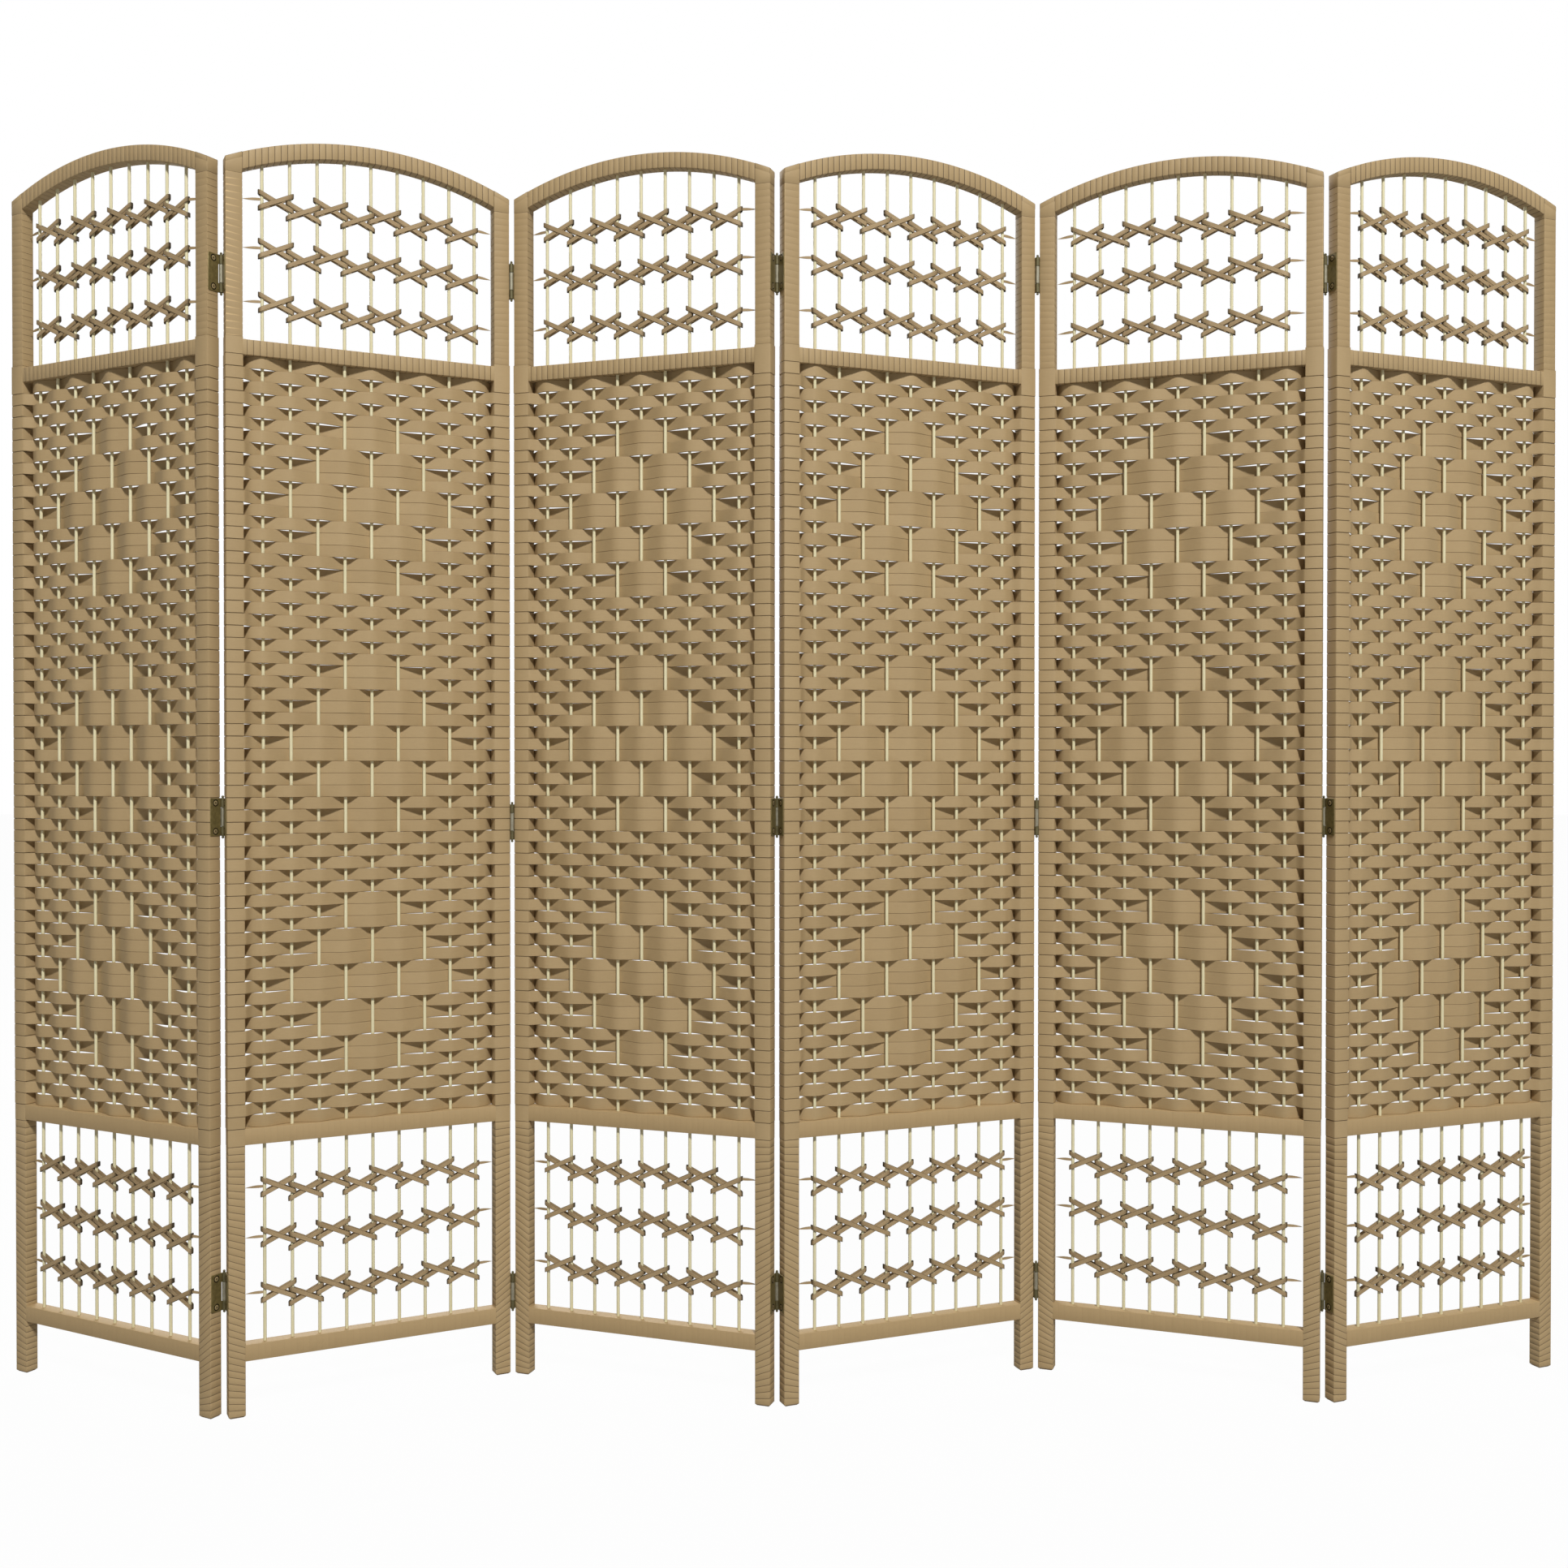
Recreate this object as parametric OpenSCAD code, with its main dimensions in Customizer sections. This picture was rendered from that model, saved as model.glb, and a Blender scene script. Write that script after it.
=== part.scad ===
// Six-panel folding room divider: arched frames, a strip weave with three
// diamonds in each panel, two barred windows with crossed bindings, and
// fifteen butt hinges. Millimetres, Z up, seen from -Y.

/* [Panel] */
// Width of one panel over its stiles
panel_w = 400; // [380:1:460]
// Height of the arch at its middle
panel_h = 1771; // [1740:1:1850]
// Radius of the arch on its outer side
arch_r = 488; // [440:1:700]
// Width of a stile with its wrapping
stile_w = 22.7; // [20:0.1:30]
// Depth of the frame with its wrapping
frame_t = 19.6; // [18.6:0.1:26]
// Height of the arched rail, measured along its radius
arch_band = 22; // [18:0.5:30]
// Thickness of the flat fibre band wound round the frame
wrap_t = 0.75; // [0.5:0.05:1]
// Chamfer round the foot of each stile
foot_chamfer = 2; // [1:0.5:4]

/* [Cross rails] */
// Top of the weave, which is the underside of the upper rail
weave_top = 1461; // [1440:1:1480]
// Height of the upper rail
upper_rail_h = 21; // [16:0.5:22]
// Bottom of the weave, which is the top of the lower rail
weave_bottom = 398; // [385:1:410]
// Height of the lower rail
lower_rail_h = 22.5; // [16:0.5:24]
// Underside of the bottom rail above the floor
leg_h = 77; // [60:1:90]
// Height of the bottom rail
bottom_rail_h = 23; // [16:0.5:28]

/* [Rods] */
// Diameter of a rod
rod_d = 4.6; // [4:0.1:5]
// Distance between neighbouring rods
rod_pitch = 37.5; // [34:0.1:38]
// Depth of a rod's blind hole in the arch and in the bottom rail
rod_seat = 11; // [8:0.5:14]

/* [Weave] */
// Number of woven rows
row_count = 63; // [59:1:67]
// Thickness of a woven strip
strip_t = 1.3; // [1:0.1:1.4]
// Swing of a strip's middle in front of and behind the rods
strip_swing = 6; // [4.5:0.1:6.5]
// Plain rows above the first diamond
plain_rows = 4; // [3:1:5]
// Plain rows between two diamonds
rows_between = 5; // [3:2:5]
// Number of diamonds
diamond_count = 3; // [1:1:3]

/* [Window bindings] */
// Width of a binding strip
binding_w = 6.2; // [5:0.1:7]
// Thickness of a binding strip
binding_t = 1; // [0.8:0.1:1.2]
// Rise of a binding between two rods
binding_rise = 17.5; // [17:0.5:24]
// How much higher every second crossing of a row of bindings sits
binding_step = 9.5; // [8:0.5:10]
// Height of the lowest upper row above the upper rail
upper_row_z = 50; // [45:1:55]
// Height of the lowest lower row above the bottom rail
lower_row_z = 62; // [50:1:70]
// Spacing of the two lower rows of an upper window
row_gap_low = 74; // [60:1:76]
// Spacing of the two upper rows of an upper window
row_gap_high = 67; // [60:1:70]
// Spacing of the two lower rows of a lower window
lower_gap_low = 77.5; // [60:0.5:80]
// Spacing of the two upper rows of a lower window
lower_gap_high = 69.5; // [60:0.5:72]

/* [Hinges] */
// Clear distance between the stiles of two panels
stile_gap = 4.4; // [4.4:0.1:6]
// Distance of the pin from the face of the frame
pin_offset = 3.2; // [3.2:0.1:5]
// Length of a leaf
leaf_h = 52; // [46:1:60]
// Thickness of a leaf
leaf_t = 0.9; // [0.7:0.05:1]
// Depth of a leaf on the side of the stile
leaf_d = 18.5; // [12:0.5:18.5]
// Outer diameter of the knuckles
knuckle_d = 6; // [5.2:0.1:6]
// Diameter of the pin
pin_d = 2.8; // [2.4:0.1:3]
// Length of the end knuckles
end_knuckle = 13; // [10:0.5:15]
// Diameter of the ball at each end of a pin
finial_d = 3.6; // [3.6:0.1:5]
// Shank diameter of a hinge screw
screw_d = 2.6; // [2.2:0.1:3]
// Head diameter of a hinge screw
screw_head_d = 7; // [4.4:0.1:8]
// Length of a hinge screw below the leaf
screw_len = 13; // [10:0.5:15]
// Distance of a screw from the end of its leaf
screw_inset = 6.5; // [5:0.5:9]
// Heights of the low hinges, from the first joint to the last
low_hinge_z = [172, 123, 157, 133, 153];
// Heights of the middle hinges
middle_hinge_z = [827, 815, 826, 821, 826];
// Heights of the top hinges
top_hinge_z = [1573, 1608, 1587, 1623, 1591];

/* [Standing pose] */
// Heading of the third panel
heading_3 = -19.4; // [-22:0.1:-17]
// Fold between panels 1 and 2
fold_12 = 54.8; // [40:0.1:60]
// Fold between panels 2 and 3
fold_23 = 46; // [40:0.1:60]
// Fold between panels 3 and 4
fold_34 = 41.5; // [35:0.1:60]
// Fold between panels 4 and 5
fold_45 = 42; // [35:0.1:60]
// Fold between panels 5 and 6
fold_56 = 41.4; // [35:0.1:60]

/* [Joinery] */
// Diameter of the dowels that join the rails to the stiles
dowel_d = 6; // [5:0.5:8]
// Depth of a dowel in each of its two pieces
dowel_seat = 14; // [10:0.5:15]
// Diameter of the dowels at the two ends of the arch
arch_dowel_d = 5; // [4:0.5:5]
// Depth of an arch dowel in each of its two pieces
arch_dowel_seat = 12; // [9:0.5:12]

/* [Hidden] */
panel_count = 6;
rod_count = 9;
middle_rod = (rod_count + 1) / 2;
bore_fit = 0.1;
pin_fit = 0.05;
strip_play = 0.3;
strip_gap = 0.15;
knuckle_gap = 0.3;
wrap_joint = 0.05;
leaf_play = 0.05;
binding_play = 0.15;
foot_wrap_lift = 6;
arch_dowel_drop = 2;
screw_head_t = 0.8;
hole_extra = 1;
knuckle_weld = 0.9;
leaf_clear = 0.4;
finial_play = 0.1;
tail_t = 0.8;
tail_tip = 0.8;
tail_root = 5;
tail_lift = 5;
smooth = 32;
arch_smooth = 180;

// Wood sizes inside the wrapping
wood_w = stile_w - 2 * wrap_t;
wood_t = frame_t - 2 * wrap_t;
arch_cz = panel_h - arch_r;
inner_w = panel_w - 2 * stile_w;
upper_rail_top = weave_top + upper_rail_h;
lower_rail_bottom = weave_bottom - lower_rail_h;
bottom_rail_top = leg_h + bottom_rail_h;
row_pitch = (weave_top - weave_bottom) / row_count;

// Cross rails as [lower face, upper face]
RAILS = [
    [leg_h, bottom_rail_top],
    [lower_rail_bottom, weave_bottom],
    [weave_top, upper_rail_top],
];

// Place and heading of each panel, joint by joint from the third one
FOLDS = [fold_12, fold_23, fold_34, fold_45, fold_56];
h3 = heading_3;
h2 = h3 + fold_23;
h4 = h3 + fold_34;
HEADINGS = [h2 - fold_12, h2, h3, h4, h4 - fold_45, h4 - fold_45 + fold_56];
// +1 where the pin stands behind the panels, -1 where it stands in front
function pin_side(joint) = joint % 2 == 0 ? 1 : -1;
pin_v = frame_t / 2 + pin_offset;
function along(a) = [cos(a), sin(a)];
function across(a) = [-sin(a), cos(a)];
// From a panel's corner to the pin at its right or left side
function to_right_pin(i) = (panel_w + stile_gap / 2) * along(HEADINGS[i]) + pin_side(i) * pin_v * across(HEADINGS[i]);
function to_left_pin(i) = -stile_gap / 2 * along(HEADINGS[i]) + pin_side(i - 1) * pin_v * across(HEADINGS[i]);
function chain(i) = i == 0 ? [0, 0] : chain(i - 1) + to_right_pin(i - 1) - to_left_pin(i);
strip_proud = strip_play + strip_t - wrap_t;
edge_u = [-strip_proud, panel_w + strip_proud];
edge_v = [-frame_t / 2 - strip_proud, frame_t / 2 + strip_proud];
corner_cut = 1.6;
// Corners of the widest outline of a panel, with the corners cut
OUTLINE = [
    for (u = edge_u, v = edge_v)
        for (cut = [[corner_cut, 0], [0, corner_cut]])
            [u + (u < 0 ? 1 : -1) * cut[0], v + (v < 0 ? 1 : -1) * cut[1]]
];
function spot(i, p) = chain(i) + p[0] * along(HEADINGS[i]) + p[1] * across(HEADINGS[i]);
REACH = [for (i = [0:panel_count - 1], p = OUTLINE) spot(i, p)];
PIN_REACH = [for (i = [0:panel_count - 2]) chain(i) + to_right_pin(i)];
min_x = min([for (p = REACH) p[0]]);
max_x = max([for (p = REACH) p[0]]);
min_y = min(min([for (p = REACH) p[1]]), min([for (p = PIN_REACH) p[1]]) - knuckle_d / 2);
max_y = max(max([for (p = REACH) p[1]]), max([for (p = PIN_REACH) p[1]]) + knuckle_d / 2);
centre = [(min_x + max_x) / 2, (min_y + max_y) / 2];

function panel_nodes(i) = [
    for (n = ["stiles", "rails", "dowels", "wrapping", "rods", "weave", "bindings", "hinge_leaves", "hinge_screws"])
        str("panel_", i + 1, "_", n)
];

function rod_u(j) = panel_w / 2 + (j - middle_rod) * rod_pitch;

module in_panel(i) {
    p = chain(i) - centre;
    translate([p[0], p[1], 0]) rotate(HEADINGS[i]) children();
}

// A block from its lowest to its highest corner
module block(a, b) {
    translate(a) cube(b - a);
}

// The disc of the arch, as deep as the frame piece that it trims
module arch_disc(r, depth) {
    translate([panel_w / 2, depth / 2, arch_cz])
        rotate([90, 0, 0])
            cylinder(r = r, h = depth, $fn = arch_smooth);
}

function arch_z(r, u) = arch_cz + sqrt(r * r - pow(u - panel_w / 2, 2));

// Outline of an upright seen along its depth or its width, foot chamfered
module upright_outline(w) {
    c = foot_chamfer;
    polygon([[-w / 2, c], [-w / 2 + c, 0], [w / 2 - c, 0], [w / 2, c], [w / 2, panel_h], [-w / 2, panel_h]]);
}

module upright(u, w, d, r) {
    intersection() {
        translate([u + w / 2, d / 2, 0]) rotate([90, 0, 0]) linear_extrude(d) upright_outline(w);
        translate([u, 0, 0]) rotate([90, 0, 90]) linear_extrude(w) upright_outline(d);
        union() {
            block([u, -d / 2, 0], [u + w, d / 2, arch_cz]);
            arch_disc(r, d);
        }
    }
}

// Dowels, and with a fit added the holes that they sit in
dowel_us = [stile_w - wrap_t, panel_w - stile_w + wrap_t];
arch_dowel_z = arch_z(arch_r - arch_band / 2, stile_w) - arch_dowel_drop;
DOWELS = concat(
    [for (r = RAILS) [(r[0] + r[1]) / 2, dowel_d, dowel_seat]],
    [[arch_dowel_z, arch_dowel_d, arch_dowel_seat]]
);
module dowel_bars(fit) {
    for (u = dowel_us, dowel = DOWELS)
        translate([u, 0, dowel[0]])
            rotate([0, 90, 0])
                cylinder(d = dowel[1] + 2 * fit, h = 2 * dowel[2] + 2 * fit, center = true, $fn = smooth);
}

// Rods, and with a fit added the holes that they sit in
module rod_bars(fit) {
    for (j = [1:rod_count]) {
        u = rod_u(j);
        low = bottom_rail_top - rod_seat - fit;
        high = arch_z(arch_r - arch_band, u) + rod_seat + fit;
        translate([u, 0, low]) cylinder(d = rod_d + 2 * fit, h = high - low, $fn = smooth);
    }
}

// A hinge is drawn round its pin: x away from the panel, y from the frame to the pin
function hinge_zs(joint) = [low_hinge_z[joint], middle_hinge_z[joint], top_hinge_z[joint]];
function in_weave(z) = z > weave_bottom && z < weave_top;
function leaf_seat(z) = leaf_play + (in_weave(z) ? strip_proud : 0);
function leaf_face(z) = -stile_gap / 2 + leaf_seat(z) + leaf_t;
screw_y = -pin_offset - leaf_d / 2;

module at_pin(joint, right_side) {
    side = pin_side(joint);
    translate([right_side ? panel_w + stile_gap / 2 : -stile_gap / 2, side * pin_v, 0])
        mirror([right_side ? 0 : 1, 0, 0])
            mirror([0, side > 0 ? 0 : 1, 0])
                children();
}

// The sides of panel i that carry hinges, as [joint, is it the right side]
function hinged_sides(i) = concat(
    i > 0 ? [[i - 1, false]] : [],
    i < panel_count - 1 ? [[i, true]] : []
);

module screws(fit) {
    for (z = [-1, 1] * (leaf_h / 2 - screw_inset))
        translate([0, screw_y, z])
            rotate([0, -90, 0]) {
                cylinder(d = screw_d + 2 * fit, h = screw_len + fit, $fn = smooth);
                cylinder(d1 = screw_head_d + 2 * fit, d2 = screw_d + 2 * fit, h = screw_head_t + fit, $fn = smooth);
            }
}

module screws_of_panel(i, fit) {
    for (s = hinged_sides(i))
        at_pin(s[0], s[1])
            for (z = hinge_zs(s[0]))
                translate([leaf_face(z), 0, z])
                    screws(fit);
}

module knuckle(low, high) {
    difference() {
        translate([0, 0, low]) cylinder(d = knuckle_d, h = high - low, $fn = smooth);
        translate([0, 0, low - hole_extra])
            cylinder(d = pin_d + 2 * pin_fit, h = high - low + 2 * hole_extra, $fn = smooth);
    }
}

// One leaf, with the two end knuckles or with the middle one
knuckle_root = knuckle_d / 2 - knuckle_weld;
leaf_edge = knuckle_d / 2 + leaf_clear;
module leaf(z, ends) {
    h = leaf_h / 2;
    spans = ends
        ? [[-h, -h + end_knuckle], [h - end_knuckle, h]]
        : [[-h + end_knuckle + knuckle_gap, h - end_knuckle - knuckle_gap]];
    x0 = -stile_gap / 2 + leaf_seat(z);
    translate([0, 0, z])
        difference() {
            union() {
                block([x0, -pin_offset - leaf_d, -h], [x0 + leaf_t, -leaf_edge, h]);
                for (s = spans) {
                    block([x0, -leaf_edge - leaf_t, s[0]], [x0 + leaf_t, -knuckle_root, s[1]]);
                    knuckle(s[0], s[1]);
                }
            }
            translate([leaf_face(z), 0, 0]) screws(leaf_play);
        }
}

// The weave: which rods a row passes in front of
diamond_rows = 15;
group_rows = 3;
groups_side = 3;
period = diamond_rows + rows_between;
function row_in_diamond(r) =
    let (n = r - 1 - plain_rows)
    n >= 0 && n < diamond_count * period && n % period < diamond_rows ? n % period : -1;
function group_size(p) = groups_side - abs(floor(p / group_rows) - (groups_side - 1));
function in_front(r, j) =
    let (p = row_in_diamond(r), off = abs(j - middle_rod))
    p >= 0 && p % group_rows == 1 && off <= group_size(p)
        ? (off + group_size(p)) % 2 == 1
        : (r + j) % 2 == 0;

// Middle line of a row in plan, from stile to stile
ring_v = frame_t / 2 + strip_proud - strip_t / 2;
strip_end = stile_w + strip_proud + wrap_joint;
function row_path(r) =
    let (v = in_front(r, 1) ? ring_v : -ring_v, w = in_front(r, rod_count) ? ring_v : -ring_v)
    concat(
        [[strip_end, v]],
        [for (j = [1:rod_count]) [rod_u(j), (in_front(r, j) ? -1 : 1) * strip_swing]],
        [[panel_w - strip_end, w]]
    );
module weave_row(r) {
    path = row_path(r);
    last = len(path) - 1;
    half = [0, strip_t / 2];
    translate([0, 0, weave_top - r * row_pitch + strip_gap / 2])
        linear_extrude(row_pitch - strip_gap)
            polygon(concat([for (p = path) p - half], [for (k = [last:-1:0]) path[k] + half]));
}

// The rows' turns round a stile, side by side, with the two corners on the hinge side drawn in
module turns_outline(u0, hinge_side) {
    x = stile_w / 2 + strip_proud;
    y = frame_t / 2 + strip_proud;
    c = corner_cut;
    translate([u0 + stile_w / 2, 0])
        scale([hinge_side, 1])
            difference() {
                polygon([[-x, -y], [x - c, -y], [x, -y + c], [x, y - c], [x - c, y], [-x, y]]);
                square([wood_w + 2 * strip_play, wood_t + 2 * strip_play], center = true);
            }
}
module stile_turns() {
    translate([0, 0, weave_bottom + strip_gap / 2])
        linear_extrude(weave_top - weave_bottom - strip_gap) {
            turns_outline(0, -1);
            turns_outline(panel_w - stile_w, 1);
        }
}

// Bindings: between two rods one flat strip climbs in front and one falls behind
binding_tilt = atan(binding_rise / rod_pitch);
binding_len = rod_pitch / cos(binding_tilt) + rod_d;
binding_v = rod_d / 2 + binding_play + binding_t / 2;
// Every other cell of a row sits higher, the first one where HIGH_FIRST says 1
HIGH_FIRST = [1, 1, 1, 0, 1, 0];
function cell_lift(i, cell) = (cell % 2 == HIGH_FIRST[i] ? 0.5 : -0.5) * binding_step;
module binding(u, z, tilt, v) {
    translate([u, v, z])
        rotate([0, -tilt, 0])
            cube([binding_len, binding_t, binding_w], center = true);
}
module tail(u_tip, u_root, z) {
    translate([0, tail_t / 2, z + tail_lift])
        rotate([90, 0, 0])
            linear_extrude(tail_t)
                polygon([[u_tip, -tail_tip / 2], [u_root, -tail_root / 2], [u_root, tail_root / 2], [u_tip, tail_tip / 2]]);
}
module binding_row(i, z, lean) {
    for (cell = [1:rod_count - 1]) {
        u = (rod_u(cell) + rod_u(cell + 1)) / 2;
        binding(u, z + cell_lift(i, cell), lean * binding_tilt, -binding_v);
        binding(u, z + cell_lift(i, cell), -lean * binding_tilt, binding_v);
    }
    tail(stile_w + binding_play, rod_u(1) - rod_d / 2 - binding_play, z);
    tail(panel_w - stile_w - binding_play, rod_u(rod_count) + rod_d / 2 + binding_play, z);
}
UPPER_STEPS = [0, row_gap_low, row_gap_low + row_gap_high];
LOWER_STEPS = [0, lower_gap_low, lower_gap_low + lower_gap_high];

// The panels' nodes
module stiles(i) {
    color("burlywood")
        for (u = [wrap_t, panel_w - wrap_t - wood_w])
            difference() {
                upright(u, wood_w, wood_t, arch_r - wrap_t);
                dowel_bars(bore_fit);
                screws_of_panel(i, leaf_play);
            }
}

module rail_wood(r) {
    block([stile_w - wrap_t, -wood_t / 2, r[0] + wrap_t], [panel_w - stile_w + wrap_t, wood_t / 2, r[1] - wrap_t]);
}

module arch_piece(depth, band, u0) {
    intersection() {
        difference() {
            arch_disc(arch_r - (arch_band - band) / 2, depth);
            arch_disc(arch_r - (arch_band + band) / 2, depth + 2 * hole_extra);
        }
        block([u0, -depth / 2, arch_cz], [panel_w - u0, depth / 2, panel_h + hole_extra]);
    }
}

module rails() {
    color("burlywood") {
        for (r = RAILS)
            difference() {
                rail_wood(r);
                rod_bars(bore_fit);
                dowel_bars(bore_fit);
            }
        difference() {
            arch_piece(wood_t, arch_band - 2 * wrap_t, stile_w - wrap_t);
            rod_bars(bore_fit);
            dowel_bars(bore_fit);
        }
    }
}

module dowels() {
    color("tan") dowel_bars(0);
}

module stile_sleeve(i, u0, low, high) {
    difference() {
        intersection() {
            upright(u0, stile_w, frame_t, arch_r);
            block([u0, -frame_t / 2, low], [u0 + stile_w, frame_t / 2, high]);
        }
        upright(u0 + wrap_t, wood_w, wood_t, arch_r - wrap_t);
        for (r = RAILS) rail_wood(r);
        arch_piece(wood_t, arch_band - 2 * wrap_t, stile_w - wrap_t);
        screws_of_panel(i, leaf_play);
    }
}

sleeve_u = stile_w + wrap_joint;
module wrapping(i) {
    color("darkkhaki") {
        for (u0 = [0, panel_w - stile_w]) {
            stile_sleeve(i, u0, foot_wrap_lift, weave_bottom);
            stile_sleeve(i, u0, weave_top, panel_h);
        }
        for (r = RAILS)
            difference() {
                block([sleeve_u, -frame_t / 2, r[0]], [panel_w - sleeve_u, frame_t / 2, r[1]]);
                rail_wood(r);
                rod_bars(bore_fit);
            }
        difference() {
            arch_piece(frame_t, arch_band, sleeve_u);
            arch_piece(wood_t, arch_band - 2 * wrap_t, stile_w - wrap_t);
            rod_bars(bore_fit);
        }
    }
}

module rods() {
    color("wheat") rod_bars(0);
}

module weave(i) {
    color("tan") {
        for (r = [1:row_count]) weave_row(r);
        difference() {
            stile_turns();
            screws_of_panel(i, leaf_play);
        }
    }
}

// Neighbouring panels are mirror images, and so is the lean of their bindings
module bindings(i) {
    lean = i % 2 == 0 ? -1 : 1;
    color("rosybrown")
        for (n = [0:len(UPPER_STEPS) - 1]) {
            binding_row(i, upper_rail_top + upper_row_z + UPPER_STEPS[n], lean);
            binding_row(i, bottom_rail_top + lower_row_z + LOWER_STEPS[n], -lean);
        }
}

module hinge_leaves(i) {
    color("darkgoldenrod")
        for (s = hinged_sides(i))
            at_pin(s[0], s[1])
                for (z = hinge_zs(s[0]))
                    leaf(z, s[1]);
}

module hinge_screws(i) {
    color("goldenrod") screws_of_panel(i, 0);
}

module hinge_pins(joint) {
    color("peru")
        at_pin(joint, true)
            for (z = hinge_zs(joint))
                translate([0, 0, z]) {
                    cylinder(d = pin_d, h = leaf_h + finial_d, center = true, $fn = smooth);
                    for (end = [-1, 1] * (leaf_h / 2 + finial_play + finial_d / 2))
                        translate([0, 0, end]) sphere(d = finial_d, $fn = smooth);
                }
}

for (i = [0:panel_count - 1]) {
    name = panel_nodes(i);
    in_panel(i) stiles(i);
    in_panel(i) rails();
    in_panel(i) dowels();
    in_panel(i) wrapping(i);
    in_panel(i) rods();
    in_panel(i) weave(i);
    in_panel(i) bindings(i);
    in_panel(i) hinge_leaves(i);
    in_panel(i) hinge_screws(i);
    in_panel(i) hinge_pins(i);
}
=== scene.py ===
# %% [markdown]
# # A woven folding screen, one lesson in cells
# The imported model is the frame: its stiles, rails, dowels, rods and hinge pins are shown as they are, with better
# finishes. What is soft and wound on the real screen (the woven strips, the band round the frame, the twined
# bindings) is made here as single strips, because a plain sleeve would lose every turn and every shadow between two
# turns. The hinge leaves and their screws are replaced too, by plates with rounded corners and crossed screw heads.

# %% Load the frame
import math
import bpy
import numpy as np
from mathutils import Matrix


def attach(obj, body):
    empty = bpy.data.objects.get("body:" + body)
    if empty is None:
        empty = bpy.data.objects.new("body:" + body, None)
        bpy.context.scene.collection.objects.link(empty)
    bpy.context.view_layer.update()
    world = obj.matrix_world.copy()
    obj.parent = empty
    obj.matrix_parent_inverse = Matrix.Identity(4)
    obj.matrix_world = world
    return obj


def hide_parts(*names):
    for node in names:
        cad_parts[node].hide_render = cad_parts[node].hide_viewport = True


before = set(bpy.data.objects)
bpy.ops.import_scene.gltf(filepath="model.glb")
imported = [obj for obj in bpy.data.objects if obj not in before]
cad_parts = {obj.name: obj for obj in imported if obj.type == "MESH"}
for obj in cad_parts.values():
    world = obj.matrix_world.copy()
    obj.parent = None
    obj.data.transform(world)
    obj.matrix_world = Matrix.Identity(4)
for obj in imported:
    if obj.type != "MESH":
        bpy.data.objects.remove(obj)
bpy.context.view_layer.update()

# %% [markdown]
# ## The screen's own sizes
# All shapes are worked out in millimetres in one flat panel: u runs along the width, v runs through the depth with
# the front at minus, z is the height. Six headings then turn the flat panels into the zigzag that stands in the room.

# %% Sizes of one panel in millimetres
PANELS = 6
PANEL_W, PANEL_H, ARCH_R, ARCH_BAND = 400.0, 1771.0, 488.0, 22.0
STILE_W, FRAME_T = 22.7, 19.6
WEAVE_TOP, WEAVE_BOTTOM, ROWS = 1461.0, 398.0, 63
# A rail is given as the heights of its underside and its top
UPPER_RAIL, LOWER_RAIL, BOTTOM_RAIL = (WEAVE_TOP, 1482.0), (375.5, WEAVE_BOTTOM), (77.0, 100.0)
ROD_PITCH, RODS, MIDDLE_ROD = 37.5, 9, 5
# A strip's thickness, and how far its turns stand out from the stile
STRIP_T, PROUD = 1.3, 0.85
ROW_PITCH = (WEAVE_TOP - WEAVE_BOTTOM) / ROWS
ROD_U = PANEL_W / 2 + (np.arange(1, RODS + 1) - MIDDLE_ROD) * ROD_PITCH
print("row pitch", round(ROW_PITCH, 2), "rods at", ROD_U)

# %% Place of each panel
HEADING = np.radians([-28.2, 26.6, -19.4, 22.1, -19.9, 21.5])
STILE_GAP, PIN_OFFSET, KNUCKLE_D, CORNER_CUT = 4.4, 3.2, 6.0, 1.6
PIN_V = FRAME_T / 2 + PIN_OFFSET


def plan(k, u, v):
    """Turn a point of panel k in plan: u along the heading plus v across it."""
    a = HEADING[k]
    return np.array([u * math.cos(a) - v * math.sin(a), u * math.sin(a) + v * math.cos(a)])


def pin_side(joint):
    """1 where a joint's pin stands behind the frames, and -1 where it stands in front of them."""
    return 1 if joint % 2 == 0 else -1


# Two panels share their pin: its place seen from panel k is its place seen from panel k + 1
corners, pin_reach = [np.zeros(2)], []
for k in range(PANELS - 1):
    pin_reach.append(corners[k] + plan(k, PANEL_W + STILE_GAP / 2, pin_side(k) * PIN_V))
    corners.append(pin_reach[k] - plan(k + 1, -STILE_GAP / 2, pin_side(k) * PIN_V))
# A panel's plan is a box with its four corners cut off, which leaves two points at each corner
reach = np.array([corners[k] + plan(k, u - math.copysign(cu, u), v - math.copysign(cv, v))
                  for k in range(PANELS) for u in (-PROUD, PANEL_W + PROUD)
                  for v in (-FRAME_T / 2 - PROUD, FRAME_T / 2 + PROUD)
                  for cu, cv in ((CORNER_CUT, 0.0), (0.0, CORNER_CUT))])
pin_reach = np.array(pin_reach)
low = np.minimum(reach.min(0), [np.inf, pin_reach[:, 1].min() - KNUCKLE_D / 2])
high = np.maximum(reach.max(0), [-np.inf, pin_reach[:, 1].max() + KNUCKLE_D / 2])
CENTRE = (low + high) / 2
print("footprint", high - low, "centre", CENTRE)

# %% [markdown]
# ## The camera
# The corners of all six panels in the photograph fix the lens, the height and the tilt of the camera. It looks almost
# level, from the height of a seated viewer's eye, about two and a half metres in front of the screen.

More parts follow.
